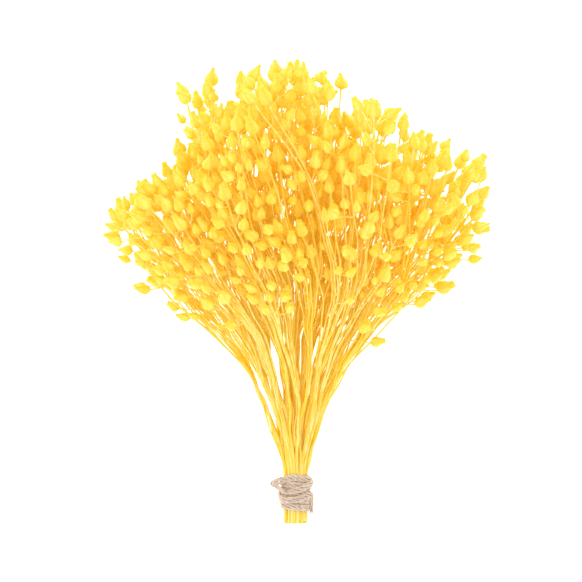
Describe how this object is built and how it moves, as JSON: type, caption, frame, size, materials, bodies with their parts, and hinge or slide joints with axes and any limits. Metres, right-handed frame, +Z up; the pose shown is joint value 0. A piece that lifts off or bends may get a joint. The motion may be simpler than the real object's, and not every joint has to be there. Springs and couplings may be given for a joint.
{
  "type": "bunch of preserved broom",
  "caption": "Bunch of dyed, dried flower sprays with small round seed heads, lying flat and tied near its cut ends with jute twine.",
  "frame": {"origin": "on the table, under the middle of the bunch's bounding box", "axes": "+Y along the bunch from its cut ends to its seed heads, +X across the fan, +Z up from the table"},
  "size_m": [0.151, 0.1842, 0.0799],
  "materials": {
    "dyed_broom": "matte dried stems and seed heads, dyed yellow",
    "jute_twine": "rough natural jute"
  },
  "bodies": {
    "root": {"jute_twine": "jute_twine", "spray_01": "dyed_broom", "spray_02": "dyed_broom", "spray_03": "dyed_broom", "spray_04": "dyed_broom", "spray_05": "dyed_broom", "spray_06": "dyed_broom", "spray_07": "dyed_broom", "spray_08": "dyed_broom", "spray_09": "dyed_broom", "spray_10": "dyed_broom", "spray_11": "dyed_broom", "spray_12": "dyed_broom", "spray_13": "dyed_broom", "spray_14": "dyed_broom", "spray_15": "dyed_broom", "spray_16": "dyed_broom", "spray_17": "dyed_broom", "spray_18": "dyed_broom", "spray_19": "dyed_broom", "spray_20": "dyed_broom", "spray_21": "dyed_broom", "spray_22": "dyed_broom", "spray_23": "dyed_broom", "spray_24": "dyed_broom", "spray_25": "dyed_broom", "spray_26": "dyed_broom", "spray_27": "dyed_broom", "spray_28": "dyed_broom", "spray_29": "dyed_broom", "spray_30": "dyed_broom", "spray_31": "dyed_broom", "spray_32": "dyed_broom", "spray_33": "dyed_broom", "spray_34": "dyed_broom", "spray_35": "dyed_broom", "spray_36": "dyed_broom", "spray_37": "dyed_broom", "spray_38": "dyed_broom", "spray_39": "dyed_broom", "spray_40": "dyed_broom", "spray_41": "dyed_broom", "spray_42": "dyed_broom", "spray_43": "dyed_broom", "spray_44": "dyed_broom", "spray_45": "dyed_broom", "spray_46": "dyed_broom", "spray_47": "dyed_broom", "spray_48": "dyed_broom", "spray_49": "dyed_broom", "spray_50": "dyed_broom", "spray_51": "dyed_broom", "spray_52": "dyed_broom", "spray_53": "dyed_broom", "spray_54": "dyed_broom", "spray_55": "dyed_broom", "spray_56": "dyed_broom"}
  },
  "joints": []
}
